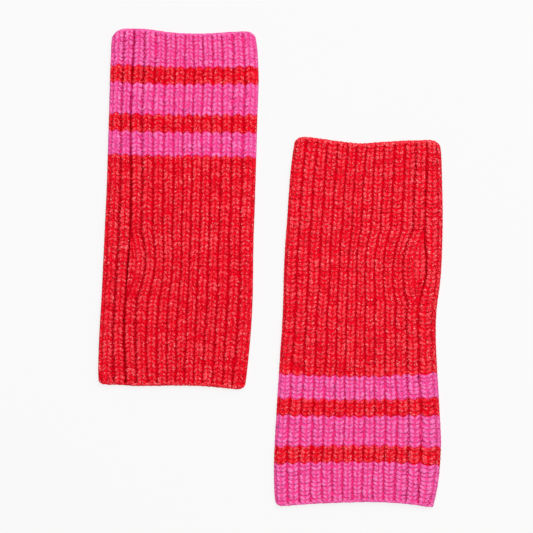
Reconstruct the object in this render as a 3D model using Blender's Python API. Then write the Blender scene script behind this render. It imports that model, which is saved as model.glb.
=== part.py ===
"""Pair of ribbed knit wrist warmers, lying flat side by side.

Each warmer is one knitted panel folded round into a tube. Its two long edges are sewn to each other in a
seam that lies on top, a little in from one side, and the seam is left open over a short length for the thumb.
The tube lies flat: its upper layer rests on its lower one, both ends are open, and the underside is level.
Tables and sizes are in millimetres. In a warmer's own frame "across" runs over the ribs, "along" runs from the
hand end to the wrist end, and both start at the warmer's middle.
"""
import math
from collections import namedtuple

import bmesh
import bpy
from mathutils import Matrix

MM = 0.001

# The knit, through its thickness
UNDER_WALL = 2.7
HOLLOW = 0.4
UPPER_WALL = 3.2
RIB_RISE = 1.3
SEAM_SINK = 0.5
SIDE_WALL = 3.0
TOP = UNDER_WALL + HOLLOW + UPPER_WALL
FOLD_RADIUS = TOP / 2
MID_HOLLOW = UNDER_WALL + HOLLOW / 2

# The ribs round the tube. A fold at a side takes up this much of a rib on either side of its middle.
RIBS_ROUND = 30
FOLD_RIBS = 0.7
RIB_STEPS = (0.0, 0.2, 0.5, 0.8)
THUMB_RIB_STEPS = (0.0, 0.1, 0.25, 0.4, 0.5, 0.6, 0.75, 0.9)
UNDER_SPANS = 7

# The slit for the thumb, cut through the upper layer along the seam
SLIT_WIDTH = 1.8
SLIT_STEPS = 12
THUMB_LIFT = 0.8
THUMB_LIFT_REACH = 8.0

# How far from an end its curved edge still bends the courses, and its round corners still pull them in
EDGE_REACH = 40.0
CORNER_REACH = 16.0

Row = namedtuple("Row", "along left seam right")
Edge = namedtuple("Edge", "left middle right left_corner right_corner")
Warmer = namedtuple("Warmer", "name across along turn ribs_before_seam rows hand_edge wrist_edge "
                              "thumb_start thumb_end thumb_rib thumb_spread stripes")

# Sides and seam of each warmer, from the hand end to the wrist end
UPPER_WARMER_ROWS = (
    Row(-110.0, -49.0, -31.8, 41.0),
    Row(-99.0, -49.2, -32.0, 42.0),
    Row(-83.5, -48.8, -33.2, 43.7),
    Row(-68.5, -48.0, -33.3, 44.8),
    Row(-56.5, -47.2, -32.0, 45.4),
    Row(-46.5, -46.7, -31.3, 45.8),
    Row(-31.5, -46.0, -30.2, 46.1),
    Row(-17.0, -45.2, -29.1, 46.1),
    Row(-2.0, -44.5, -28.8, 46.3),
    Row(12.5, -43.8, -28.4, 46.7),
    Row(34.5, -43.1, -28.8, 47.5),
    Row(57.0, -42.4, -28.9, 48.4),
    Row(79.0, -41.8, -28.0, 49.2),
    Row(94.0, -41.2, -27.1, 48.9),
    Row(109.0, -40.6, -26.5, 47.6),
)
LOWER_WARMER_ROWS = (
    Row(-111.5, -49.6, -42.4, 40.0),
    Row(-104.0, -50.4, -42.4, 40.7),
    Row(-89.5, -51.0, -42.1, 41.8),
    Row(-74.5, -51.6, -41.4, 43.0),
    Row(-60.0, -51.4, -40.9, 43.9),
    Row(-50.0, -51.0, -40.6, 44.7),
    Row(-40.0, -50.7, -42.0, 45.2),
    Row(-30.5, -50.3, -42.1, 45.5),
    Row(-23.0, -49.8, -40.8, 45.8),
    Row(-15.5, -49.1, -38.3, 46.1),
    Row(-7.0, -48.1, -36.4, 46.4),
    Row(6.5, -47.5, -36.8, 47.0),
    Row(21.0, -48.0, -37.3, 47.9),
    Row(36.0, -48.6, -37.3, 48.8),
    Row(50.5, -49.3, -38.5, 49.8),
    Row(73.0, -50.3, -38.7, 51.0),
    Row(87.5, -50.0, -37.8, 51.6),
    Row(102.5, -48.6, -37.2, 51.6),
    Row(112.0, -47.4, -36.6, 51.0),
)

# Distance from the wrist end at which the yarn changes colour, from pink to red and back
UPPER_WARMER_STRIPES = (21.5, 32.0, 51.0, 61.5, 76.0)
LOWER_WARMER_STRIPES = (25.0, 35.0, 53.0, 63.0, 77.5)

# Distance from the hand end of the sections up to the stripes
BODY_STATIONS = (0.0, 1.2, 3.0, 6.0, 11.0, 20.0, 32.0, 44.0, 54.0, 62.0, 70.0, 78.0, 86.0, 94.0, 102.0, 112.0, 126.0)
CUFF_STATIONS = (11.0, 6.0, 3.0, 1.2, 0.0)

WARMERS = (
    Warmer(
        name="upper_left_warmer", across=-56.4, along=36.3, turn=0.0, ribs_before_seam=2.5,
        rows=UPPER_WARMER_ROWS,
        hand_edge=Edge(-108.9, -108.6, -110.4, 3.5, 3.5),
        wrist_edge=Edge(110.4, 107.9, 109.2, 6.0, 5.5),
        thumb_start=-55.5, thumb_end=-14.5, thumb_rib=5.0, thumb_spread=2.5,
        stripes=UPPER_WARMER_STRIPES,
    ),
    Warmer(
        name="lower_right_warmer", across=54.3, along=-33.2, turn=math.pi, ribs_before_seam=1.65,
        rows=LOWER_WARMER_ROWS,
        hand_edge=Edge(-111.3, -110.0, -113.2, 3.5, 3.5),
        wrist_edge=Edge(113.2, 111.0, 112.2, 4.0, 4.0),
        thumb_start=-57.5, thumb_end=-15.0, thumb_rib=8.6, thumb_spread=4.5,
        stripes=LOWER_WARMER_STRIPES,
    ),
)

RED_YARN = (0.760, 0.016, 0.030, 1.0)
PINK_YARN = (0.860, 0.088, 0.305, 1.0)
YARN_ROUGHNESS = 0.85


def remove_all_objects():
    for thing in list(bpy.data.objects):
        bpy.data.objects.remove(thing, do_unlink=True)


def yarn_material(name, colour):
    material = bpy.data.materials.new(name)
    material.use_nodes = True
    shader = material.node_tree.nodes["Principled BSDF"]
    shader.inputs["Base Color"].default_value = colour
    shader.inputs["Roughness"].default_value = YARN_ROUGHNESS
    shader.inputs["Metallic"].default_value = 0.0
    return material


def between(low, high, share):
    return low + (high - low) * share


def row_at(warmer, along):
    """The sides and the seam at a distance along the warmer, on straight lines between its rows."""
    rows = warmer.rows
    along = min(max(along, rows[0].along), rows[-1].along)
    for start, end in zip(rows, rows[1:]):
        if along <= end.along:
            share = (along - start.along) / (end.along - start.along)
            return Row(*(between(a, b, share) for a, b in zip(start, end)))
    return rows[-1]


def thumb_share(warmer, along):
    """Nought outside the thumb opening, and one where it is widest."""
    share = (along - warmer.thumb_start) / (warmer.thumb_end - warmer.thumb_start)
    if not 0.0 < share < 1.0:
        return 0.0
    return math.sin(math.pi * share)


def end_offset(edge, row, across):
    """How far an end's curved edge and round corners stand off its middle, away from the warmer's centre."""
    half = (row.right - row.left) / 2
    place = (across - (row.left + row.right) / 2) / half
    side = edge.left if place < 0 else edge.right
    offset = abs(side - edge.middle) * place * place
    corner = edge.left_corner if place < 0 else edge.right_corner
    inward = min(max(half * (1 - abs(place)), 0.0), corner)
    return offset, corner - math.sqrt(corner ** 2 - (corner - inward) ** 2)


def along_at(warmer, row, distance, length, across):
    """Place along the warmer of a section that starts at this distance from the hand end's middle."""
    along = warmer.hand_edge.middle + distance
    for edge, gap, outward in ((warmer.hand_edge, distance, -1), (warmer.wrist_edge, length - distance, 1)):
        curve, corner = end_offset(edge, row, across)
        along += outward * curve * max(1 - gap / EDGE_REACH, 0.0) ** 2
        along -= outward * corner * max(1 - gap / CORNER_REACH, 0.0) ** 2
    return along


def rib_hump(share):
    """Height of a rib over its gutters, from nought to one."""
    return math.sqrt(max(1 - (2 * share - 1) ** 2, 0.0))


def rib_places(ribs_before, ribs_after):
    """Rib counts from the seam at which a section has outer points, over the top and round both folds."""
    low = -ribs_before - FOLD_RIBS
    high = ribs_after + FOLD_RIBS
    places = [low]
    for rib in range(math.floor(low), math.ceil(high)):
        steps = THUMB_RIB_STEPS if rib == 0 else RIB_STEPS
        places += [rib + step for step in steps if low + 0.05 < rib + step < high - 0.05]
    return places + [high]


def across_at(warmer, row, thumb_rib, place):
    """Across and fold angle of a rib count: 90 degrees on top, 0 at a side and -90 degrees underneath."""
    ribs_after = RIBS_ROUND / 2 - warmer.ribs_before_seam
    flat_left = row.left + FOLD_RADIUS
    flat_right = row.right - FOLD_RADIUS
    fold_start = FOLD_RIBS - warmer.ribs_before_seam
    fold_end = ribs_after - FOLD_RIBS
    if place < fold_start:
        angle = math.pi / 2 * (place + warmer.ribs_before_seam) / FOLD_RIBS
        return flat_left - FOLD_RADIUS * math.cos(angle), angle
    if place > fold_end:
        angle = math.pi / 2 * (ribs_after - place) / FOLD_RIBS
        return flat_right + FOLD_RADIUS * math.cos(angle), angle
    if place < 0:
        return between(flat_left, row.seam, (place - fold_start) / -fold_start), math.pi / 2
    pitch = (flat_right - row.seam) / fold_end
    pushed = place if place < 1 else math.exp((1 - place) / warmer.thumb_spread)
    pushed *= 1 - place / fold_end
    return row.seam + thumb_rib * pushed + pitch * place, math.pi / 2


def outer_section(warmer, row, thumb):
    """Outer points of a section as across and height: over the top to the right, and back underneath."""
    ribs_after = RIBS_ROUND / 2 - warmer.ribs_before_seam
    thumb_rib = warmer.thumb_rib * thumb
    points = []
    for place in rib_places(warmer.ribs_before_seam, ribs_after):
        across, angle = across_at(warmer, row, thumb_rib, place)
        share = place - math.floor(place)
        hump = rib_hump(share)
        if 0.0 <= place < 1.0:
            hump = between(hump, rib_hump(2 * share % 1.0), thumb)
        sink = RIB_RISE * (1 - hump)
        if abs(place) < 0.01:
            sink += SEAM_SINK
        sink *= min(max(1 + angle / (math.pi / 2), 0.0), 1.0)
        lift = THUMB_LIFT * thumb * math.exp(-((across - row.seam) / THUMB_LIFT_REACH) ** 2)
        outward = math.cos(angle) * (1 if place > 0 else -1)
        height = FOLD_RADIUS + (FOLD_RADIUS - sink) * math.sin(angle)
        points.append((across - outward * sink, height + lift * max(math.sin(angle), 0.0)))
    first = points[-1][0]
    last = points[0][0]
    points += [(between(first, last, step / UNDER_SPANS), 0.0) for step in range(1, UNDER_SPANS)]
    return points


def inner_links(warmer, outer_count):
    """For each inner point of a section, the outer point it faces, and its part of the hollow."""
    ribs_after = RIBS_ROUND / 2 - warmer.ribs_before_seam
    places = rib_places(warmer.ribs_before_seam, ribs_after)
    links = []
    left_side = min(range(len(places)), key=lambda i: abs(places[i] + warmer.ribs_before_seam))
    right_side = min(range(len(places)), key=lambda i: abs(places[i] - ribs_after))
    links.append((left_side, "left"))
    for index, place in enumerate(places):
        whole = abs(place - round(place)) < 0.01
        if whole and FOLD_RIBS - warmer.ribs_before_seam < place < ribs_after - FOLD_RIBS:
            links.append((index, "roof"))
    links.append((right_side, "right"))
    links += [(index, "floor") for index in range(len(places) - 1, outer_count)]
    links.append((0, "floor"))
    return links


def inner_section(row, outer, links):
    """Inner points of a section: the thin hollow between the two layers."""
    points = []
    for index, part in links:
        if part == "left":
            points.append((row.left + SIDE_WALL, MID_HOLLOW))
        elif part == "right":
            points.append((row.right - SIDE_WALL, MID_HOLLOW))
        elif part == "roof":
            points.append((outer[index][0], UNDER_WALL + HOLLOW))
        else:
            points.append((outer[index][0], UNDER_WALL))
    return points


def add_ring(mesh, warmer, row, distance, length, section):
    ring = []
    for across, height in section:
        along = along_at(warmer, row, distance, length, across)
        ring.append(mesh.verts.new((across * MM, along * MM, height * MM)))
    return ring


def join_rings(mesh, first, second, colour, inside):
    """A band of four-sided faces between two like rings."""
    count = len(first)
    for index in range(count):
        after = (index + 1) % count
        corners = (first[index], first[after], second[after], second[index])
        face = mesh.faces.new(tuple(reversed(corners)) if inside else corners)
        face.material_index = colour
        face.smooth = True


def close_end(mesh, outer, inner, links, colour, wrist):
    """The cut edge of the knit at an open end, between the outer ring and the inner one."""
    count = len(inner)
    for index in range(count):
        after = (index + 1) % count
        start = links[index][0]
        stop = links[after][0]
        run = [start]
        while run[-1] != stop:
            run.append((run[-1] + 1) % len(outer))
        corners = [outer[place] for place in run] + [inner[after], inner[index]]
        face = mesh.faces.new(corners if wrist else list(reversed(corners)))
        face.material_index = colour


def tube_mesh(warmer):
    length = warmer.wrist_edge.middle - warmer.hand_edge.middle
    changes = [length - stripe for stripe in reversed(warmer.stripes)]
    cuff = [length - distance for distance in CUFF_STATIONS]
    distances = list(BODY_STATIONS) + changes + cuff
    mesh = bmesh.new()
    outer_rings = []
    inner_rings = []
    colours = []
    for distance in distances:
        row = row_at(warmer, warmer.hand_edge.middle + distance)
        outer = outer_section(warmer, row, thumb_share(warmer, warmer.hand_edge.middle + distance))
        links = inner_links(warmer, len(outer))
        inner = inner_section(row, outer, links)
        outer_rings.append(add_ring(mesh, warmer, row, distance, length, outer))
        inner_rings.append(add_ring(mesh, warmer, row, distance, length, inner))
        colours.append(sum(distance > change - 0.01 for change in changes) % 2)
    for index in range(len(distances) - 1):
        join_rings(mesh, outer_rings[index], outer_rings[index + 1], colours[index], inside=False)
        join_rings(mesh, inner_rings[index], inner_rings[index + 1], colours[index], inside=True)
    close_end(mesh, outer_rings[0], inner_rings[0], links, colours[0], wrist=False)
    close_end(mesh, outer_rings[-1], inner_rings[-1], links, colours[-1], wrist=True)
    bmesh.ops.recalc_face_normals(mesh, faces=mesh.faces)
    data = bpy.data.meshes.new(warmer.name)
    mesh.to_mesh(data)
    mesh.free()
    return data


def thumb_cutter(warmer, matrix, collection):
    """A lens-shaped blade along the seam, from the middle of the hollow to above the ribs."""
    mesh = bmesh.new()
    sides = ([], [])
    for step in range(1, SLIT_STEPS):
        along = between(warmer.thumb_start, warmer.thumb_end, step / SLIT_STEPS)
        half = SLIT_WIDTH / 2 * math.sqrt(thumb_share(warmer, along))
        seam = row_at(warmer, along).seam
        for side, sign in zip(sides, (-1, 1)):
            side.append((seam + sign * half, along))
    tips = [(row_at(warmer, along).seam, along) for along in (warmer.thumb_start, warmer.thumb_end)]
    outline = [tips[0]] + sides[1] + [tips[1]] + list(reversed(sides[0]))
    corners = [mesh.verts.new((across * MM, along * MM, MID_HOLLOW * MM)) for across, along in outline]
    floor = mesh.faces.new(corners)
    raised = bmesh.ops.extrude_face_region(mesh, geom=[floor])["geom"]
    tops = [item for item in raised if isinstance(item, bmesh.types.BMVert)]
    bmesh.ops.translate(mesh, verts=tops, vec=(0, 0, TOP * MM))
    bmesh.ops.recalc_face_normals(mesh, faces=mesh.faces)
    data = bpy.data.meshes.new(warmer.name + "_thumb_cutter")
    mesh.to_mesh(data)
    mesh.free()
    cutter = bpy.data.objects.new(data.name, data)
    cutter.matrix_world = matrix
    cutter.hide_render = True
    cutter.display_type = "WIRE"
    collection.objects.link(cutter)
    return cutter


def add_warmer(warmer, yarns, parts, cutters):
    place = Matrix.Translation((warmer.across * MM, warmer.along * MM, 0)) @ Matrix.Rotation(warmer.turn, 4, "Z")
    tube = bpy.data.objects.new(warmer.name, tube_mesh(warmer))
    tube.matrix_world = place
    for yarn in yarns:
        tube.data.materials.append(yarn)
    parts.objects.link(tube)
    slit = tube.modifiers.new("thumb opening", "BOOLEAN")
    slit.operation = "DIFFERENCE"
    slit.solver = "EXACT"
    slit.object = thumb_cutter(warmer, place, cutters)


def add_collection(name):
    collection = bpy.data.collections.new(name)
    bpy.context.scene.collection.children.link(collection)
    return collection


remove_all_objects()
wrist_warmers = add_collection("wrist_warmers")
cutting_shapes = add_collection("cutters")
yarn_materials = (yarn_material("red_yarn", RED_YARN), yarn_material("pink_yarn", PINK_YARN))
for pair_half in WARMERS:
    add_warmer(pair_half, yarn_materials, wrist_warmers, cutting_shapes)
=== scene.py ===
"""Looks of a pair of ribbed knit wrist warmers that lie flat side by side, seen from straight above."""
import math
from collections import namedtuple

import bmesh
import bpy
import numpy as np
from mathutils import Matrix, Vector


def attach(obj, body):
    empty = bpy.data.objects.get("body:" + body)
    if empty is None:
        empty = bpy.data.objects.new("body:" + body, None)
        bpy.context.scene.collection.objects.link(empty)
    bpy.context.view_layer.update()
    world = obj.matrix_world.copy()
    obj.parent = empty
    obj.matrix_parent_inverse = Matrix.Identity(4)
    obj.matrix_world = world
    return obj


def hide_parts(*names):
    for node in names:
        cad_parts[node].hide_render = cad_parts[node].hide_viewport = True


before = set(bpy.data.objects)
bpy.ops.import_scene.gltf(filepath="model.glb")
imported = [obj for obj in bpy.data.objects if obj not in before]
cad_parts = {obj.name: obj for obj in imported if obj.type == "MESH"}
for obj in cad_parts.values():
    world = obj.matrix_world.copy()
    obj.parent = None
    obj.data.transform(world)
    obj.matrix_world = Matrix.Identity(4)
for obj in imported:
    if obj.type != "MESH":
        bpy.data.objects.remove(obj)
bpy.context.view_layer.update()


# The surface, the light and the view.
# A plain white table under a broad soft light from above, in a bright room. The view is straight down,
# through a long lens, so that the sides of the warmers hardly show.
WHITE = (1.0, 1.0, 1.0, 1.0)
FLOOR_SIDE = 3.0
FLOOR_SHADE = 0.12
FLOOR_ROUGHNESS = 0.9
FLOOR_GLOSS = 0.1
FLOOR_GLOW = 0.82
ROOM_LIGHT = 0.28
LAMP_SIDE = 1.1
LAMP_PLACE = (0.26, 0.36, 1.5)
LAMP_POWER = 24.2
CAMERA_PLACE = (-0.0018, 0.0006, 2.2)
CAMERA_REACH = 10.0
FRAME_WIDTH = 0.3278
SENSOR_WIDTH = 36.0

floor_mesh = bmesh.new()
bmesh.ops.create_grid(floor_mesh, x_segments=1, y_segments=1, size=FLOOR_SIDE / 2)
floor_data = bpy.data.meshes.new("floor")
floor_mesh.to_mesh(floor_data)
floor_mesh.free()
floor = bpy.data.objects.new("floor", floor_data)
bpy.context.scene.collection.objects.link(floor)
floor_paint = bpy.data.materials.new("white_table")
floor_paint.use_nodes = True
floor_shader = floor_paint.node_tree.nodes["Principled BSDF"]
floor_shader.inputs["Base Color"].default_value = (FLOOR_SHADE, FLOOR_SHADE, FLOOR_SHADE, 1.0)
floor_shader.inputs["Roughness"].default_value = FLOOR_ROUGHNESS
floor_shader.inputs["Specular IOR Level"].default_value = FLOOR_GLOSS
floor_shader.inputs["Emission Color"].default_value = WHITE
floor_shader.inputs["Emission Strength"].default_value = FLOOR_GLOW
floor_data.materials.append(floor_paint)

room = bpy.data.worlds.new("bright room")
room.use_nodes = True
room_light = room.node_tree.nodes["Background"]
room_light.inputs["Color"].default_value = WHITE
room_light.inputs["Strength"].default_value = ROOM_LIGHT
bpy.context.scene.world = room

lamp_data = bpy.data.lights.new("soft lamp", "AREA")
lamp_data.size = LAMP_SIDE
lamp_data.energy = LAMP_POWER
lamp = bpy.data.objects.new("soft lamp", lamp_data)
lamp.location = LAMP_PLACE
lamp.rotation_euler = (-lamp.location).to_track_quat("-Z", "Y").to_euler()
bpy.context.scene.collection.objects.link(lamp)

camera_data = bpy.data.cameras.new("camera")
camera_data.sensor_width = SENSOR_WIDTH
camera_data.lens = SENSOR_WIDTH * CAMERA_PLACE[2] / FRAME_WIDTH
camera_data.clip_end = CAMERA_REACH
camera = bpy.data.objects.new("camera", camera_data)
camera.location = CAMERA_PLACE
bpy.context.scene.collection.objects.link(camera)
bpy.context.scene.camera = camera
bpy.context.scene.view_settings.view_transform = "Standard"


# The knitted panel of each warmer.
# One piece of one-and-one rib in thick woollen yarn, folded round into a tube and laid flat. Its two long
# edges are turned down into a seam on top, but for the thumb opening, where the edge rib lies open.

# Sizes are in millimetres, but places round the tube are counted in ribs from the seam, and rows are counted
# in stitches from the hand end. A lift is a height over the outside of the knit.
MM = 0.001
RIBS_ROUND = 30
RIB_PITCH = 6.15
ROW_PITCH = 2.55
THICKNESS = 6.3
RESTING_HEIGHT = 0.05
FOLD_RADIUS = THICKNESS / 2
FOLD_RIBS = 0.7
FOLD_TUCK = 0.22
FOLD_FLATTEN = 0.85
FOLD_REACH = 1.2
RIBS_OPENED = 0.016
EASE = 5
CORNER_REACH = 16.0
WAVE_REACH = 30.0
THUMB_FADE_POWER = 1.5
THUMB_LIFT = 0.8
THUMB_LIFT_REACH = 8.0
SEAM_TURN = 0.1
SEAM_REACH = 0.2
OPEN_REACH = 0.28
GUTTER_DEPTH = 2.4
EDGE_RISE = 0.65
EDGE_REACH = 0.25
# Painted shade on the open edge rib, and the range that the painted shade keeps to
EDGE_RIB_SHADE = 0.5
EDGE_RIB_TOP = -0.3
SHADE_RANGE = (-1.0, 2.0)
WANDER = 0.018
WANDER_REACH = 2.0
WANDER_TURNS = ((2.3, 0.13), (1.1, -0.31), (3.9, 0.47))

Row = namedtuple("Row", "along left seam right left_tilt right_tilt")
Wave = namedtuple("Wave", "place along")
Warmer = namedtuple(
    "Warmer",
    "name node across along turned ribs_before_seam rows hand_end wrist_end corners counts places "
    "thumb_start thumb_end thumb_rib thumb_fade seam_shade shade_from seed",
)

# Sides and seam from the hand end to the wrist end, and how far the rows of stitches rise at each side
UPPER_ROWS = (
    Row(-110.0, -49.0, -31.8, 42.0, -0.3, -1.8),
    Row(-99.0, -49.2, -32.0, 43.0, -0.2, -1.4),
    Row(-83.5, -48.8, -33.0, 44.7, 0.0, -0.9),
    Row(-68.5, -48.0, -33.0, 45.9, 0.1, -0.6),
    Row(-56.5, -47.2, -32.0, 46.5, 0.2, -0.4),
    Row(-46.5, -46.7, -31.3, 46.7, 0.2, -0.3),
    Row(-31.5, -46.0, -30.2, 46.8, 0.3, -0.2),
    Row(-17.0, -45.3, -29.1, 47.1, 0.3, -0.2),
    Row(-2.0, -44.6, -28.8, 47.7, 0.3, -0.3),
    Row(12.5, -43.9, -28.4, 48.1, 0.6, -0.5),
    Row(34.5, -43.2, -28.8, 48.8, 1.3, -0.8),
    Row(57.0, -42.5, -28.9, 49.4, 1.5, 0.0),
    Row(79.0, -41.9, -28.0, 50.3, 1.8, 0.1),
    Row(94.0, -41.3, -27.1, 49.7, 1.0, 0.2),
    Row(109.0, -40.8, -26.5, 48.4, 0.0, 0.0),
)
LOWER_ROWS = (
    Row(-111.5, -51.0, -42.4, 39.3, -1.3, -3.2),
    Row(-104.0, -51.6, -42.4, 40.0, -1.0, -2.6),
    Row(-89.5, -52.0, -42.1, 41.8, -0.8, -1.8),
    Row(-74.5, -52.4, -41.4, 43.0, -0.6, -1.2),
    Row(-60.0, -52.5, -40.9, 43.9, -0.6, -1.0),
    Row(-50.0, -52.3, -40.6, 44.8, -0.6, -0.9),
    Row(-40.0, -52.0, -42.0, 45.4, -0.6, -0.9),
    Row(-30.5, -51.6, -42.1, 45.8, -0.7, -0.8),
    Row(-23.0, -50.9, -40.8, 46.0, -0.8, -0.8),
    Row(-15.5, -49.9, -38.3, 46.1, -0.9, -0.8),
    Row(-7.0, -48.7, -36.4, 46.4, -1.0, -0.9),
    Row(6.5, -48.1, -36.8, 47.0, -1.3, -1.2),
    Row(21.0, -48.5, -37.3, 48.1, -1.9, -1.5),
    Row(36.0, -49.3, -37.3, 49.0, -2.4, -1.8),
    Row(50.5, -50.2, -38.5, 50.0, -1.8, -1.6),
    Row(73.0, -51.6, -38.7, 51.4, 0.9, 0.4),
    Row(87.5, -50.8, -37.8, 52.0, 2.3, 1.2),
    Row(102.5, -48.8, -37.2, 51.8, 1.2, 0.6),
    Row(112.0, -46.3, -36.6, 51.0, 0.0, 0.0),
)

# Each end's own line across the warmer, from its left side at -1 to its right side at 1
UPPER_HAND_END = (
    Wave(-1.0, 1.0), Wave(-0.75, 1.2), Wave(-0.55, 0.2), Wave(-0.3, 0.1), Wave(0.1, 0.4), Wave(0.5, 0.2),
    Wave(0.85, -0.7), Wave(1.0, -0.8),
)
UPPER_WRIST_END = (
    Wave(-1.0, 1.1), Wave(-0.76, 1.5), Wave(-0.6, 1.5), Wave(-0.43, 0.9), Wave(-0.27, -0.3),
    Wave(-0.1, -1.2), Wave(0.18, -1.7), Wave(0.4, -1.3), Wave(0.6, -0.6), Wave(1.0, 0.2),
)
LOWER_HAND_END = (
    Wave(-1.0, 0.4), Wave(-0.8, -0.1), Wave(-0.55, -0.4), Wave(-0.3, 0.1), Wave(-0.13, 0.5), Wave(0.1, 1.3),
    Wave(0.36, 0.4), Wave(0.69, -0.9), Wave(1.0, -0.4),
)
LOWER_WRIST_END = (
    Wave(-1.0, 2.3), Wave(-0.85, 1.3), Wave(-0.7, 0.2), Wave(-0.4, -0.9), Wave(-0.1, -1.1), Wave(0.2, -0.5),
    Wave(0.5, -0.1), Wave(0.78, 1.1), Wave(1.0, 1.7),
)

# Counts are the rows of stitches at which the yarn changes, with the first and the last, and places are how
# far along the warmer each of them is. Corners are the radii of the left and right corner, first at the hand
# end and then at the wrist end. The lower warmer lies turned half round.
# Seam shade is how much painted shade lies along the seam, and shade from is the depth in millimetres at
# which the yarn's painted shade starts
UPPER = Warmer(
    name="upper", node="upper_left_warmer", across=-56.4, along=36.3, turned=1, ribs_before_seam=2.5,
    rows=UPPER_ROWS, hand_end=UPPER_HAND_END, wrist_end=UPPER_WRIST_END, corners=(5.0, 6.0, 8.8, 7.0),
    counts=(0, 56, 62, 66, 73, 77, 86), places=(-108.6, 31.9, 46.4, 56.9, 75.9, 86.4, 108.3),
    thumb_start=-55.5, thumb_end=-14.5, thumb_rib=4.9, thumb_fade=6.5,
    seam_shade=0.5, shade_from=0.9, seed=11,
)
LOWER = Warmer(
    name="lower", node="lower_right_warmer", across=54.3, along=-33.2, turned=-1, ribs_before_seam=1.65,
    rows=LOWER_ROWS, hand_end=LOWER_HAND_END, wrist_end=LOWER_WRIST_END, corners=(7.0, 7.0, 1.5, 5.0),
    counts=(0, 56, 62, 66, 73, 77, 87), places=(-110.0, 33.5, 48.0, 58.0, 76.0, 86.0, 111.3),
    thumb_start=-56.0, thumb_end=-10.5, thumb_rib=8.3, thumb_fade=11.0,
    seam_shade=-0.1, shade_from=1.05, seed=23,
)
WARMERS = (UPPER, LOWER)

# Steps along and across a warmer at which its lines are read before their turns are rounded off
ALONG_SCALE = np.arange(-130.0, 131.0)
ACROSS_SCALE = np.linspace(-1.2, 1.2, 97)


def rounded_line(scale, places, values, at):
    """A line through a few points, read where asked, with the turns between its points rounded off."""
    line = np.pad(np.interp(scale, places, values), EASE, mode="edge")
    smooth = np.convolve(line, np.ones(2 * EASE + 1) / (2 * EASE + 1), mode="valid")
    return np.interp(at, scale, smooth)


def row_line(warmer, column, along):
    """A column of a warmer's rows at places along it."""
    values = [getattr(row, column) for row in warmer.rows]
    return rounded_line(ALONG_SCALE, [row.along for row in warmer.rows], values, along)


def end_line(waves, place):
    """How far an end's line reaches along the warmer at places across it."""
    return rounded_line(ACROSS_SCALE, [wave.place for wave in waves], [wave.along for wave in waves], place)


def thumb_share(warmer, along):
    """Nought outside the thumb opening and one where it is widest."""
    share = np.clip((along - warmer.thumb_start) / (warmer.thumb_end - warmer.thumb_start), 0.0, 1.0)
    return np.sin(np.pi * share)


def sewn(warmer, along):
    """One where the seam is sewn, and nought in the middle of the thumb opening."""
    return 1 - np.sqrt(thumb_share(warmer, along))


def at_seam(rib):
    """One at the seam, nought a little way from it."""
    away = np.where(rib < 0, 0.0, np.minimum(rib, RIBS_ROUND - rib))
    return np.clip(1 - away / SEAM_REACH, 0.0, 1.0)


def beside_edge_rib(warmer, rib, along):
    """One in the shallow gutter beside the edge rib, where that lies open in the thumb opening."""
    return np.exp(-(rib / EDGE_REACH) ** 2) * np.sqrt(thumb_share(warmer, along))


def at_fold(warmer, rib):
    """One on the folds at the two sides, nought a little way from them."""
    fold = RIBS_ROUND / 2 - warmer.ribs_before_seam
    away = np.minimum(np.abs(rib - fold), np.abs(rib - fold - RIBS_ROUND / 2))
    return np.clip(1 - away / FOLD_REACH, 0.0, 1.0)


def beside_seam(rib):
    """One in the gutters one rib from the seam, where the knit is drawn open and its purl side shows."""
    return np.exp(-((rib - 1) / OPEN_REACH) ** 2) + np.exp(-((rib - RIBS_ROUND + 1) / OPEN_REACH) ** 2)


def shaded(warmer, rib, row, depth):
    """The depth that sets the yarn's painted shade: more in the seam and the edge rib, less on the folds."""
    along = np.interp(row, warmer.counts, warmer.places)
    held = np.where(rib > RIBS_ROUND / 2, 1.0, sewn(warmer, along))
    in_seam = at_seam(rib) * held + EDGE_RIB_SHADE * (rib < EDGE_RIB_TOP)
    # Painted shade is taken off on the folds and in the open gutter beside the edge rib
    pale = np.maximum(at_fold(warmer, rib), EDGE_RISE * beside_edge_rib(warmer, rib, along))
    return np.clip(depth * (1 - pale) + warmer.seam_shade * in_seam, *SHADE_RANGE)


def wander(warmer, rib, row):
    """How far the ribs stray from their own lines, in ribs. Next to the seam they are held straight."""
    held = np.clip(np.minimum(rib, RIBS_ROUND - rib) / WANDER_REACH, 0.0, 1.0)
    stray = sum(np.sin(by_rib * rib + by_row * row + warmer.seed) for by_rib, by_row in WANDER_TURNS)
    return WANDER * held * stray


def on_tube(warmer, rib, thumb, left, seam, right):
    """Where a rib lies on the tube: how far across, which way its outside faces, and at which side."""
    half_round = RIBS_ROUND / 2
    ribs_after = half_round - warmer.ribs_before_seam
    fold_end = ribs_after - FOLD_RIBS
    under_start = ribs_after + FOLD_RIBS
    under_end = ribs_after + half_round - FOLD_RIBS
    left_start = under_end + 2 * FOLD_RIBS
    flat_left = left + FOLD_RADIUS + FOLD_TUCK
    flat_right = right - FOLD_RADIUS - FOLD_TUCK

    wide = warmer.thumb_rib * thumb
    fade = np.clip(1 - rib / warmer.thumb_fade, 0.0, 1.0) ** THUMB_FADE_POWER
    share = rib / fold_end
    share = share + RIBS_OPENED * np.sin(2 * np.pi * share)
    edge_rib = seam + wide * (rib + 1)
    after_seam = seam + (flat_right - seam) * share + wide * fade
    beneath = flat_right + (flat_left - flat_right) * (rib - under_start) / (under_end - under_start)
    before_seam = flat_left + (seam - flat_left) * (rib - left_start) / (RIBS_ROUND - left_start)

    up = np.pi / 2
    turn_right = up * (ribs_after - rib) / FOLD_RIBS
    turn_left = up * (rib - ribs_after - half_round) / FOLD_RIBS
    parts = (rib < 0, rib > left_start, rib > under_end, rib > under_start, rib > fold_end)
    across = np.select(parts, (edge_rib, before_seam, flat_left, beneath, flat_right), after_seam)
    angle = np.select(parts, (up, up, turn_left, -up, turn_right), up)
    side = np.where(rib > under_end, -1.0, 1.0)
    return across, angle, side


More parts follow.
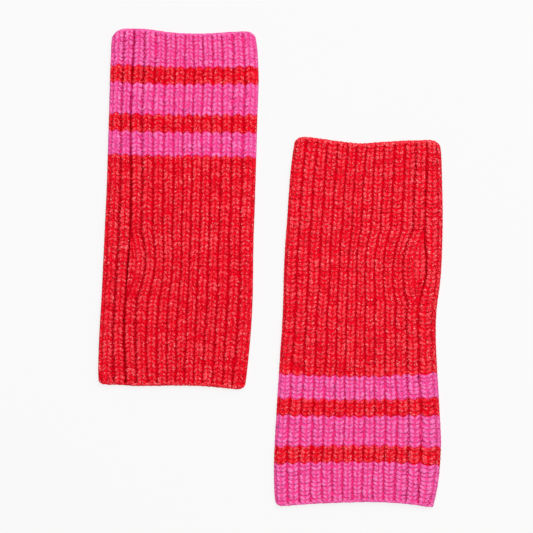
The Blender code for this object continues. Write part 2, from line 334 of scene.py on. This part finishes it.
def end_drop(warmer, place, inward, along):
    """How far the waves and the rounded corners of the two ends move points along the warmer."""
    first, last = warmer.places[0], warmer.places[-1]
    drop = np.zeros_like(along)
    for waves, end in ((warmer.hand_end, first), (warmer.wrist_end, last)):
        near = np.clip(1 - np.abs(along - end) / WAVE_REACH, 0.0, 1.0)
        drop = drop + end_line(waves, place) * near ** 2 * (3 - 2 * near)
    for corner, end, left in zip(warmer.corners, (first, first, last, last), (True, False, True, False)):
        away = np.clip(corner - inward, 0.0, corner)
        bend = corner - np.sqrt(np.clip(corner ** 2 - away ** 2, 0.0, None))
        pull = bend * np.clip(1 - np.abs(along - end) / CORNER_REACH, 0.0, 1.0) ** 2
        drop = drop + np.where((place < 0) == left, pull, 0.0) * (1 if end == first else -1)
    return drop


def lay(warmer, rib, row, lift):
    """Points of the panel, in ribs, rows and millimetres over the outside of the knit, laid on the tube."""
    along = np.interp(row, warmer.counts, warmer.places)
    along = along + np.minimum(row, 0.0) * ROW_PITCH + np.maximum(row - warmer.counts[-1], 0.0) * ROW_PITCH
    left, seam, right = (row_line(warmer, column, along) for column in ("left", "seam", "right"))
    rib = rib + wander(warmer, rib, row)
    thumb = thumb_share(warmer, along)
    across, angle, side = on_tube(warmer, rib, thumb, left, seam, right)

    seam_floor = -GUTTER_DEPTH - SEAM_TURN
    lift = lift - SEAM_TURN * at_seam(rib) * sewn(warmer, along) * (rib >= 0)
    lift = lift * (1 - EDGE_RISE * beside_edge_rib(warmer, rib, along))
    lift = np.where(rib < 0, lift * thumb + seam_floor * (1 - thumb), lift)
    lift = lift * (1 - FOLD_FLATTEN * at_fold(warmer, rib))
    radius = FOLD_RADIUS + lift
    across = across + side * radius * np.cos(angle)
    height = FOLD_RADIUS + radius * np.sin(angle)
    swell = THUMB_LIFT * thumb * np.exp(-((across - seam) / THUMB_LIFT_REACH) ** 2)
    height = np.maximum(height + swell * np.clip(np.sin(angle), 0.0, 1.0), RESTING_HEIGHT)

    place = np.clip((across - (left + right) / 2) / ((right - left) / 2), -1.0, 1.0)
    inward = (1 - np.abs(place)) * (right - left) / 2
    tilt = np.where(place < 0, row_line(warmer, "left_tilt", along), row_line(warmer, "right_tilt", along))
    along = along + tilt * place ** 2 + end_drop(warmer, place, inward, along)
    x = warmer.turned * across + warmer.across
    y = warmer.turned * along + warmer.along
    return np.stack((x, y, height), axis=-1) * MM


def rib_shape(rib):
    """Height of a rib over its gutters at places counted in ribs, from nought to one."""
    return np.sqrt(np.clip(1 - (2 * (rib - np.floor(rib)) - 1) ** 2, 0.0, 1.0))


def read_points(data):
    """The places of a mesh's points."""
    points = np.empty(len(data.vertices) * 3)
    data.vertices.foreach_get("co", points)
    return points.reshape(-1, 3)


def write_points(data, points):
    """Moves a mesh's points to their new places."""
    data.vertices.foreach_set("co", points.astype(np.float32).ravel())
    data.update()


class Sock:
    """An output of a shader node. Sums and products on it add Math nodes to its material."""

    def __init__(self, tree, output=None):
        self.tree = tree
        self.output = output

    def node(self, kind, settings, sockets, output=0):
        made = self.tree.nodes.new(kind)
        for name, value in settings.items():
            setattr(made, name, value)
        for name, value in sockets.items():
            if isinstance(value, Sock):
                self.tree.links.new(value.output, made.inputs[name])
            else:
                made.inputs[name].default_value = value
        return Sock(self.tree, made.outputs[output])

    def math(self, operation, first, second):
        return self.node("ShaderNodeMath", {"operation": operation}, {0: first, 1: second})

    def __add__(self, other):
        return self.math("ADD", self, other)

    def __radd__(self, other):
        return self.math("ADD", other, self)

    def __sub__(self, other):
        return self.math("SUBTRACT", self, other)

    def __rsub__(self, other):
        return self.math("SUBTRACT", other, self)

    def __mul__(self, other):
        return self.math("MULTIPLY", self, other)

    def __rmul__(self, other):
        return self.math("MULTIPLY", other, self)


def mix_colours(share, first, second):
    """The first colour where the share is nought, the second where it is one."""
    colours = {"Factor": share, 6: first, 7: second}
    return share.node("ShaderNodeMix", {"data_type": "RGBA"}, colours, output=2)


def steps(value, low, high):
    """Nought under the low value, one over the high one, and smooth between them."""
    return value.node("ShaderNodeMapRange", {"interpolation_type": "SMOOTHSTEP"},
                      {"Value": value, "From Min": low, "From Max": high})


# A yarn's colours run from painted shade at the bottom of a gutter, by its own shades, to its pale flecks
# and its sheen
# Dark and deep are painted shade, the pale marl also stands for a painted highlight on the tops, and the
# flecks for painted glints
Yarn = namedtuple("Yarn", "name slot dark deep shade colour glow fleck sheen")
RED = Yarn(
    name="red_yarn", slot="red_yarn", dark=(0.45, 0.0, 0.006, 1), deep=(0.82, 0.0, 0.013, 1),
    shade=(0.46, 0.001, 0.008, 1), colour=(0.92, 0.008, 0.026, 1), glow=(0.98, 0.051, 0.074, 1),
    fleck=(1.0, 0.40, 0.41, 1), sheen=(1.0, 0.2, 0.2, 1),
)
PINK = Yarn(
    name="pink_yarn", slot="pink_yarn", dark=(0.63, 0.015, 0.162, 1), deep=(0.92, 0.034, 0.240, 1),
    shade=(0.64, 0.039, 0.242, 1), colour=(0.96, 0.128, 0.428, 1), glow=(1.0, 0.188, 0.500, 1),
    fleck=(1.0, 0.43, 0.72, 1), sheen=(1.0, 0.4, 0.7, 1),
)
YARN_ROUGHNESS = 0.85
YARN_GLOSS = 0.0
SHEEN = 0.015
SHEEN_ROUGHNESS = 0.5
PATCH_SCALE = 1200.0
SPECK_SCALE = 1300.0
CLOUD_SCALE = 55.0
FIBRE_SCALE = 3.0

# How much each pattern counts for each colour, and between which values that colour comes in
MARL_BY_PATCH = 0.8
MARL_BY_FIBRE = 0.2
MARL_STEPS = (0.39, 0.50)
# The glow counts the depth against itself, so that its painted highlight stays on the tops of the yarn
GLOW_BY_PATCH = 0.5
GLOW_BY_TONE = 0.25
GLOW_BY_CLOUD = 0.1
GLOW_BY_FIBRE = 0.15
GLOW_BY_DEPTH = 0.15
GLOW_STEPS = (0.44, 0.70)
# Flecks keep to depths above the painted shade, as painted glints on the tops
FLECK_BY_TONE = 0.05
FLECK_STEPS = (0.65, 0.74)
FLECK_DEPTHS = (-0.2, 0.7)
# The deep and dark colours are painted shade, which follows the depth
DEEP_BY_DEPTH = 0.9
DEEP_BY_PATCH = 1.5
DEEP_FROM = 0.7
DARK_STEPS = (0.7, 1.3)
BUMP_STRENGTH = 0.35
BUMP_DISTANCE = 0.0003


def yarn_material(yarn):
    """Marled yarn: soft light and dark patches, pale flecks, fine fibres, painted shade low in the knit and
    painted highlights on top.
    """
    material = bpy.data.materials.new(yarn.name + "_knit")
    material.use_nodes = True
    tree = material.node_tree
    shader = tree.nodes["Principled BSDF"]
    start = Sock(tree)
    where = start.node("ShaderNodeTexCoord", {}, {}, output="Object")
    strand = start.node("ShaderNodeAttribute", {"attribute_name": "strand"}, {}, output="Vector")
    tone = start.node("ShaderNodeAttribute", {"attribute_name": "tone"}, {}, output="Fac")
    depth = start.node("ShaderNodeAttribute", {"attribute_name": "depth"}, {}, output="Fac")
    cloud = start.node("ShaderNodeTexNoise", {}, {"Vector": where, "Scale": CLOUD_SCALE, "Detail": 2.0})
    patch = start.node("ShaderNodeTexNoise", {}, {"Vector": where, "Scale": PATCH_SCALE, "Detail": 2.0})
    speck = start.node("ShaderNodeTexNoise", {}, {"Vector": where, "Scale": SPECK_SCALE, "Detail": 1.0})
    fibre = start.node("ShaderNodeTexNoise", {}, {"Vector": strand, "Scale": FIBRE_SCALE, "Detail": 3.0})
    marl = patch * MARL_BY_PATCH + fibre * MARL_BY_FIBRE
    body = mix_colours(steps(marl, *MARL_STEPS), yarn.shade, yarn.colour)
    # The pale marl comes in by patches at random and is also a painted highlight, held off where the painted
    # shade is deep
    lit = patch * GLOW_BY_PATCH + tone * GLOW_BY_TONE + cloud * GLOW_BY_CLOUD + fibre * GLOW_BY_FIBRE
    lit = lit - depth * GLOW_BY_DEPTH
    body = mix_colours(steps(lit, *GLOW_STEPS), body, yarn.glow)
    # The pale flecks are partly the yarn's own and partly painted glints, and show only on the tops, out of
    # the painted shade
    high = 1 - steps(depth, *FLECK_DEPTHS)
    body = mix_colours(steps(speck + tone * FLECK_BY_TONE, *FLECK_STEPS) * high, body, yarn.fleck)
    # Painted shade: deep and then dark colour in the gutters, in the seam and under the strands, broken up
    # by the patches
    low = depth * DEEP_BY_DEPTH + patch * DEEP_BY_PATCH - DEEP_FROM
    body = mix_colours(low, body, yarn.deep)
    body = mix_colours(steps(low, *DARK_STEPS), body, yarn.dark)
    relief = {"Strength": BUMP_STRENGTH, "Distance": BUMP_DISTANCE, "Height": fibre}
    bump = start.node("ShaderNodeBump", {}, relief)
    tree.links.new(body.output, shader.inputs["Base Color"])
    tree.links.new(bump.output, shader.inputs["Normal"])
    shader.inputs["Roughness"].default_value = YARN_ROUGHNESS
    shader.inputs["Specular IOR Level"].default_value = YARN_GLOSS
    shader.inputs["Sheen Weight"].default_value = SHEEN
    shader.inputs["Sheen Roughness"].default_value = SHEEN_ROUGHNESS
    shader.inputs["Sheen Tint"].default_value = yarn.sheen
    return material


KNIT_MATERIALS = {yarn: yarn_material(yarn) for yarn in (RED, PINK)}


def yarn_at(warmer, row):
    """The yarn of a row of stitches, red from the hand end and changed at each count."""
    changes = sum(row >= count for count in warmer.counts[1:-1])
    return (RED, PINK)[changes % 2]


def add_piece(name, data):
    """A mesh as a piece of the pair, at the root."""
    piece = bpy.data.objects.new(name, data)
    bpy.context.scene.collection.objects.link(piece)
    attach(piece, "root")
    return piece


def add_mark(data, name, kind, field, values):
    """One measure on each point of a mesh."""
    mark = data.attributes.new(name, kind, "POINT")
    mark.data.foreach_set(field, values.astype(np.float32).ravel())


def add_marks(data, strand, tone, depth):
    """The material's measures on each point: place on the strand, tone of the strand, and depth in the knit
    for painted shade.
    """
    add_mark(data, "strand", "FLOAT_VECTOR", "vector", strand)
    add_mark(data, "tone", "FLOAT", "value", tone)
    add_mark(data, "depth", "FLOAT", "value", depth)


STEPS_PER_RIB = 6
RIDGE_DEPTH = 1.15
ROW_SLANT = 0.75
CLOTH_WALL = 0.6
CLOTH_TONE = 0.4
CLOTH_STRAND = (3.0, 2.0, 1.0)
# Painted shade on the ground: less on its ridges, more in the open gutters beside the seam
SHADE_RIDGE = 0.4
SHADE_OPEN = 0.2
AT_EDGE = 0.01
THUMB_TACK = 1.0
SEWN_WITHIN = 0.0012


def panel_cloth(warmer):
    """The closed ground that the stitches stand on, sewn into a tube but for the thumb opening."""
    rows = warmer.counts[-1]
    columns = (RIBS_ROUND + 1) * STEPS_PER_RIB
    sheet = bmesh.new()
    bmesh.ops.create_grid(sheet, x_segments=columns, y_segments=rows, size=0.5)
    data = bpy.data.meshes.new(warmer.name + "_knit_ground")
    sheet.to_mesh(data)
    sheet.free()
    flat = read_points(data)
    rib = (flat[:, 0] + 0.5) * (RIBS_ROUND + 1) - 1
    row = (flat[:, 1] + 0.5) * rows
    rise = rib_shape(rib)
    lift = -GUTTER_DEPTH + (GUTTER_DEPTH - RIDGE_DEPTH) * rise
    for face in data.polygons:
        middle = np.mean([row[corner] for corner in face.vertices])
        face.material_index = int(yarn_at(warmer, middle) is PINK)
    row = np.where((row > AT_EDGE) & (row < rows - AT_EDGE), row + ROW_SLANT * (rise - 0.5), row)
    write_points(data, lay(warmer, rib, row, lift))
    # Painted shade on the ground, deepest in the gutters and in the open gutters beside the seam
    depth = shaded(warmer, rib, row, 1 - SHADE_RIDGE * rise + SHADE_OPEN * beside_seam(rib))
    strand = np.stack((rib, row, lift), axis=-1) * np.array(CLOTH_STRAND)
    add_marks(data, strand, np.full(len(rib), CLOTH_TONE), depth)

    along = np.interp(row, warmer.counts, warmer.places)
    at_edge = (rib < AT_EDGE - 1) | (rib > RIBS_ROUND - AT_EDGE)
    past_thumb = (along < warmer.thumb_start + THUMB_TACK) | (along > warmer.thumb_end - THUMB_TACK)
    sheet = bmesh.new()
    sheet.from_mesh(data)
    sheet.verts.ensure_lookup_table()
    in_seam = [sheet.verts[int(index)] for index in np.flatnonzero(at_edge & past_thumb)]
    bmesh.ops.remove_doubles(sheet, verts=in_seam, dist=SEWN_WITHIN)
    for face in sheet.faces:
        face.smooth = True
    sheet.to_mesh(data)
    sheet.free()
    return data


for warmer in WARMERS:
    ground = add_piece(warmer.name + "_knit_ground", panel_cloth(warmer))
    ground.data.materials.append(KNIT_MATERIALS[RED])
    ground.data.materials.append(KNIT_MATERIALS[PINK])
    wall = ground.modifiers.new("wall", "SOLIDIFY")
    wall.thickness = CLOTH_WALL * MM
    wall.offset = -1.0
    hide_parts(warmer.node)


# The plain stitches.
# Each rib is a column of them: two short legs of yarn rise out of the gutters and lean in to meet on its
# middle, each pair over the foot of the last. One is shaped flat, repeated by arrays and laid on the tube.
LEG_SIDES = 6
LEG_RINGS = 5
LEG_RADIUS = 1.02
FLATNESS = 0.88
FULLNESS = 0.45
TIP_POWER = 2.6
LOOK_AHEAD = 0.02
STRAND_LENGTH = 1.7
STRAND_GIRTH = 0.8
STRAND_SPREAD = 90.0
HELD_ROWS = 0.5
HELD_SHARE = 0.65
OPEN_RISE = 0.8
OPEN_FROM = 0.8
# How fast the yarn's painted shade grows with its depth in the knit, and how much more it has on the
# underside of each strand
SHADE_OVER = 1.0
SHADE_UNDER = 0.85
THUMB_MARGIN = 4.0

# How far a length of yarn strays from its place, across in ribs, along in rows and up in millimetres
STITCH_SHIFT = (0.03, 0.15, 0.18)
STITCH_SWELL = 0.12
STITCH_TURN = 0.22

# The middle line of a leg, across in ribs, along in rows and up in millimetres from the outside of the knit
LEG_PATH = (
    (0.150, -0.54, -2.35),
    (0.185, -0.25, -1.50),
    (0.255, 0.05, -0.95),
    (0.350, 0.30, -0.90),
    (0.445, 0.50, -1.35),
)


def path_point(path, share):
    """A place on a smooth line through a path's points, in millimetres."""
    place = share * (len(path) - 1)
    index = min(int(place), len(path) - 2)
    rest = place - index
    near = [Vector(path[min(max(index + step, 0), len(path) - 1)]) for step in (-1, 0, 1, 2)]
    point = 0.5 * ((2 * near[1]) + (near[2] - near[0]) * rest
                   + (2 * near[0] - 5 * near[1] + 4 * near[2] - near[3]) * rest ** 2
                   + (3 * near[1] - near[0] - 3 * near[2] + near[3]) * rest ** 3)
    return Vector((point.x * RIB_PITCH, point.y * ROW_PITCH, point.z))


def bend_along(verts, path, radius):
    """Turns a ball of unit radius into yarn along a path, and gives each point's place on the strand."""
    places = {}
    for vert in verts:
        share = min(max((vert.co.z + 1) / 2, 0.0), 1.0)
        angle = math.atan2(vert.co.y, vert.co.x)
        girth = radius * max(1 - abs(2 * share - 1) ** TIP_POWER, 0.0) ** FULLNESS
        centre = path_point(path, share)
        after = path_point(path, min(share + LOOK_AHEAD, 1.0))
        ahead = after - path_point(path, max(share - LOOK_AHEAD, 0.0))
        side = ahead.cross(Vector((0, 0, 1))).normalized()
        up = side.cross(ahead).normalized()
        point = centre + side * math.cos(angle) * girth + up * math.sin(angle) * girth * FLATNESS
        vert.co = Vector((point.x / RIB_PITCH, point.y / ROW_PITCH, point.z))
        round_strand = (math.cos(angle) * STRAND_GIRTH, math.sin(angle) * STRAND_GIRTH)
        places[vert] = (share * STRAND_LENGTH, *round_strand)
    return places


def strand_shape(name, paths, radius, sides=LEG_SIDES, rings=LEG_RINGS):
    """One swatch of yarn lengths in ribs, rows and millimetres, with each point's place on the strand."""
    swatch = bmesh.new()
    layer = swatch.verts.layers.float_vector.new("strand")
    for path in paths:
        ball = bmesh.ops.create_uvsphere(swatch, u_segments=sides, v_segments=rings, radius=1.0)["verts"]
        for vert, place in bend_along(ball, path, radius).items():
            vert[layer] = Vector(place)
    bmesh.ops.recalc_face_normals(swatch, faces=swatch.faces)
    for face in swatch.faces:
        face.smooth = True
    data = bpy.data.meshes.new(name)
    swatch.to_mesh(data)
    swatch.free()
    return data


def mirrored(path):
    """A path on the other half of the rib."""
    return tuple((1 - across, along, depth) for across, along, depth in path)


def repeated(data, ribs, rows, rib_step=1.0):
    """A swatch repeated across so many ribs and along so many rows."""
    maker = bpy.data.objects.new(data.name + "_maker", data)
    bpy.context.scene.collection.objects.link(maker)
    for count, step in ((rows, (0.0, 1.0, 0.0)), (ribs, (rib_step, 0.0, 0.0))):
        array = maker.modifiers.new("repeat", "ARRAY")
        array.count = count
        array.use_relative_offset = False
        array.use_constant_offset = True
        array.constant_offset_displace = step
    made = bpy.data.meshes.new_from_object(maker.evaluated_get(bpy.context.evaluated_depsgraph_get()))
    bpy.data.objects.remove(maker)
    return made


def knit_on(warmer, data, size, first_rib, first_row, random,
            shift=STITCH_SHIFT, loose=1.0, tones=(0.0, 1.0), less_shade=0.0, held=True):
    """Lays a repeated swatch on a warmer, each length of yarn a little off its place."""
    points = read_points(data)
    lengths = len(points) // size
    off = random.uniform(-loose, loose, (lengths, 3)) * np.array(shift)
    tone = random.uniform(*tones, lengths)
    middles = points.reshape(lengths, size, 3).mean(axis=1)
    swell = 1 + np.repeat(random.uniform(-STITCH_SWELL, STITCH_SWELL, lengths) * loose, size)[:, None]
    turn = np.repeat(random.uniform(-STITCH_TURN, STITCH_TURN, lengths) * loose, size)
    middles = np.repeat(middles, size, axis=0)
    across, along, high = ((points - middles) * swell).T
    shear = ROW_PITCH / RIB_PITCH
    turned = np.stack((across - along * turn * shear, along + across * turn / shear, high), axis=-1)
    points = middles + turned + np.repeat(off, size, axis=0) + np.array((first_rib, first_row, 0.0))
    rib, row, lift = points.T
    if held:
        # The stitches at the two ends are drawn in, so that they stay on the panel
        edge = warmer.counts[-1] - HELD_ROWS
        row = np.where(row > edge, edge + (row - edge) * HELD_SHARE, row)
        row = np.where(row < HELD_ROWS, HELD_ROWS + (row - HELD_ROWS) * HELD_SHARE, row)
    lift = lift + OPEN_RISE * beside_seam(rib) * np.clip(-lift - OPEN_FROM, 0.0, 1.0)
    strand = np.empty(len(points) * 3)
    data.attributes["strand"].data.foreach_get("vector", strand)
    strand = strand.reshape(-1, 3)
    # Painted shade on the yarn: more the lower it lies in the knit, and more on the underside of each strand
    under = np.clip(0.5 - strand[:, 2] / STRAND_GIRTH, 0.0, 1.0)
    depth = shaded(warmer, rib, row, (-lift - warmer.shade_from - less_shade) / SHADE_OVER + SHADE_UNDER * under)
    strand = strand + np.repeat(random.uniform(0.0, STRAND_SPREAD, (lengths, 3)), size, axis=0)
    data.attributes.remove(data.attributes["strand"])
    add_marks(data, strand, np.repeat(tone, size), depth)
    write_points(data, lay(warmer, rib, row, lift))
    return data


def joined(name, parts):
    """Several meshes as one piece."""
    whole = bmesh.new()
    for part in parts:
        whole.from_mesh(part)
        bpy.data.meshes.remove(part)
    data = bpy.data.meshes.new(name)
    whole.to_mesh(data)
    whole.free()
    return data


on_grounds = {warmer.name: [] for warmer in WARMERS}


def add_yarn(warmer, yarn, kind, parts):
    """Lengths of one yarn on one warmer as a piece of their own."""
    name = f"{warmer.name}_{yarn.name}_{kind}"
    piece = add_piece(name, joined(name, parts))
    piece.data.materials.append(KNIT_MATERIALS[yarn])
    on_grounds[warmer.name].append(piece)


stitch = strand_shape("stitch", (LEG_PATH, mirrored(LEG_PATH)), LEG_RADIUS)
leg_points = len(stitch.vertices) // 2
for warmer in WARMERS:
    random = np.random.default_rng(warmer.seed)
    stripes = {RED: [], PINK: []}
    for start, end in zip(warmer.counts, warmer.counts[1:]):
        swatch = repeated(stitch, RIBS_ROUND, end - start)
        field = knit_on(warmer, swatch, leg_points, 0, start + 0.5, random)
        stripes[yarn_at(warmer, start)].append(field)
    thumb_ends = (warmer.thumb_start + THUMB_MARGIN, warmer.thumb_end - THUMB_MARGIN)
    low, high = (round(float(row)) for row in np.interp(thumb_ends, warmer.places, warmer.counts))
    edge_rib = knit_on(warmer, repeated(stitch, 1, high - low), leg_points, -1, low + 0.5, random)
    stripes[RED].append(edge_rib)
    for yarn, fields in stripes.items():
        add_yarn(warmer, yarn, "stitches", fields)


# The purl bars.
# Between two ribs lies a column of purl stitches. What shows of each is one short bar of yarn across the
# gutter, low between the legs. None shows in the seam.
BAR_RADIUS = 0.68
BAR_SIDES = 4
BAR_RINGS = 4
BAR_SHIFT = (0.05, 0.2, 0.3)
BAR_PATH = (
    (-0.19, -0.10, -2.70),
    (-0.10, 0.10, -2.45),
    (0.00, 0.18, -2.35),
    (0.10, 0.10, -2.45),
    (0.19, -0.10, -2.70),
)

bar = strand_shape("bar", (BAR_PATH,), BAR_RADIUS, BAR_SIDES, BAR_RINGS)
for warmer in WARMERS:
    random = np.random.default_rng(warmer.seed + 1)
    stripes = {RED: [], PINK: []}
    for start, end in zip(warmer.counts, warmer.counts[1:]):
        swatch = repeated(bar, RIBS_ROUND - 1, end - start)
        field = knit_on(warmer, swatch, len(bar.vertices), 1, start + 0.5, random, shift=BAR_SHIFT)
        stripes[yarn_at(warmer, start)].append(field)
    for yarn, fields in stripes.items():
        add_yarn(warmer, yarn, "purl_bars", fields)


# The bound-off hand end.
# The last stitches at the hand are drawn through each other into a chain that lies along the edge, two links
# to a rib, and the ribs end against it. Each link is two legs side by side, and the outer one lies lower.
LINKS_PER_RIB = 2
LINK_RADIUS = 0.85
LINK_LOOSE = 0.35
LINK_TONES = (0.3, 1.0)
# How much of the links' painted shade is taken off, so that the chain stays light at the edge
LINK_LESS_SHADE = 0.5
INNER_LINK = (
    (-0.08, 0.36, -2.10),
    (0.08, 0.38, -1.50),
    (0.24, 0.32, -1.25),
    (0.40, 0.22, -1.45),
    (0.54, 0.14, -2.00),
)
OUTER_LINK = (
    (-0.10, 0.02, -2.50),
    (0.08, 0.03, -1.90),
    (0.24, 0.06, -1.70),
    (0.40, 0.12, -1.85),
    (0.56, 0.16, -2.40),
)

link = strand_shape("link", (INNER_LINK, OUTER_LINK), LINK_RADIUS)
for warmer in WARMERS:
    random = np.random.default_rng(warmer.seed + 2)
    chain = repeated(link, RIBS_ROUND * LINKS_PER_RIB, 1, 1 / LINKS_PER_RIB)
    chain = knit_on(warmer, chain, len(link.vertices) // 2, 0, 0, random,
                    loose=LINK_LOOSE, tones=LINK_TONES, less_shade=LINK_LESS_SHADE, held=False)
    add_yarn(warmer, RED, "bound_off_edge", [chain])


# The cast-on wrist end.
# The knitting starts here, on a cord of the pink yarn twisted tightly round the first stitches, so that this
# end is smooth and round and the ribs run right to it.
CORD_TURNS_PER_RIB = 3
CORD_RADIUS = 0.88
CORD_LOOSE = 0.25
CORD_PATH = (
    (-0.20, -0.26, -2.15),
    (-0.02, -0.17, -1.65),
    (0.14, -0.12, -1.60),
    (0.30, -0.07, -1.75),
    (0.48, -0.02, -2.25),
)

turn = strand_shape("turn", (CORD_PATH,), CORD_RADIUS)
for warmer in WARMERS:
    random = np.random.default_rng(warmer.seed + 3)
    cord = repeated(turn, RIBS_ROUND * CORD_TURNS_PER_RIB, 1, 1 / CORD_TURNS_PER_RIB)
    cord = knit_on(warmer, cord, len(turn.vertices), 0, warmer.counts[-1], random,
                   loose=CORD_LOOSE, held=False)
    add_yarn(warmer, PINK, "cast_on_edge", [cord])
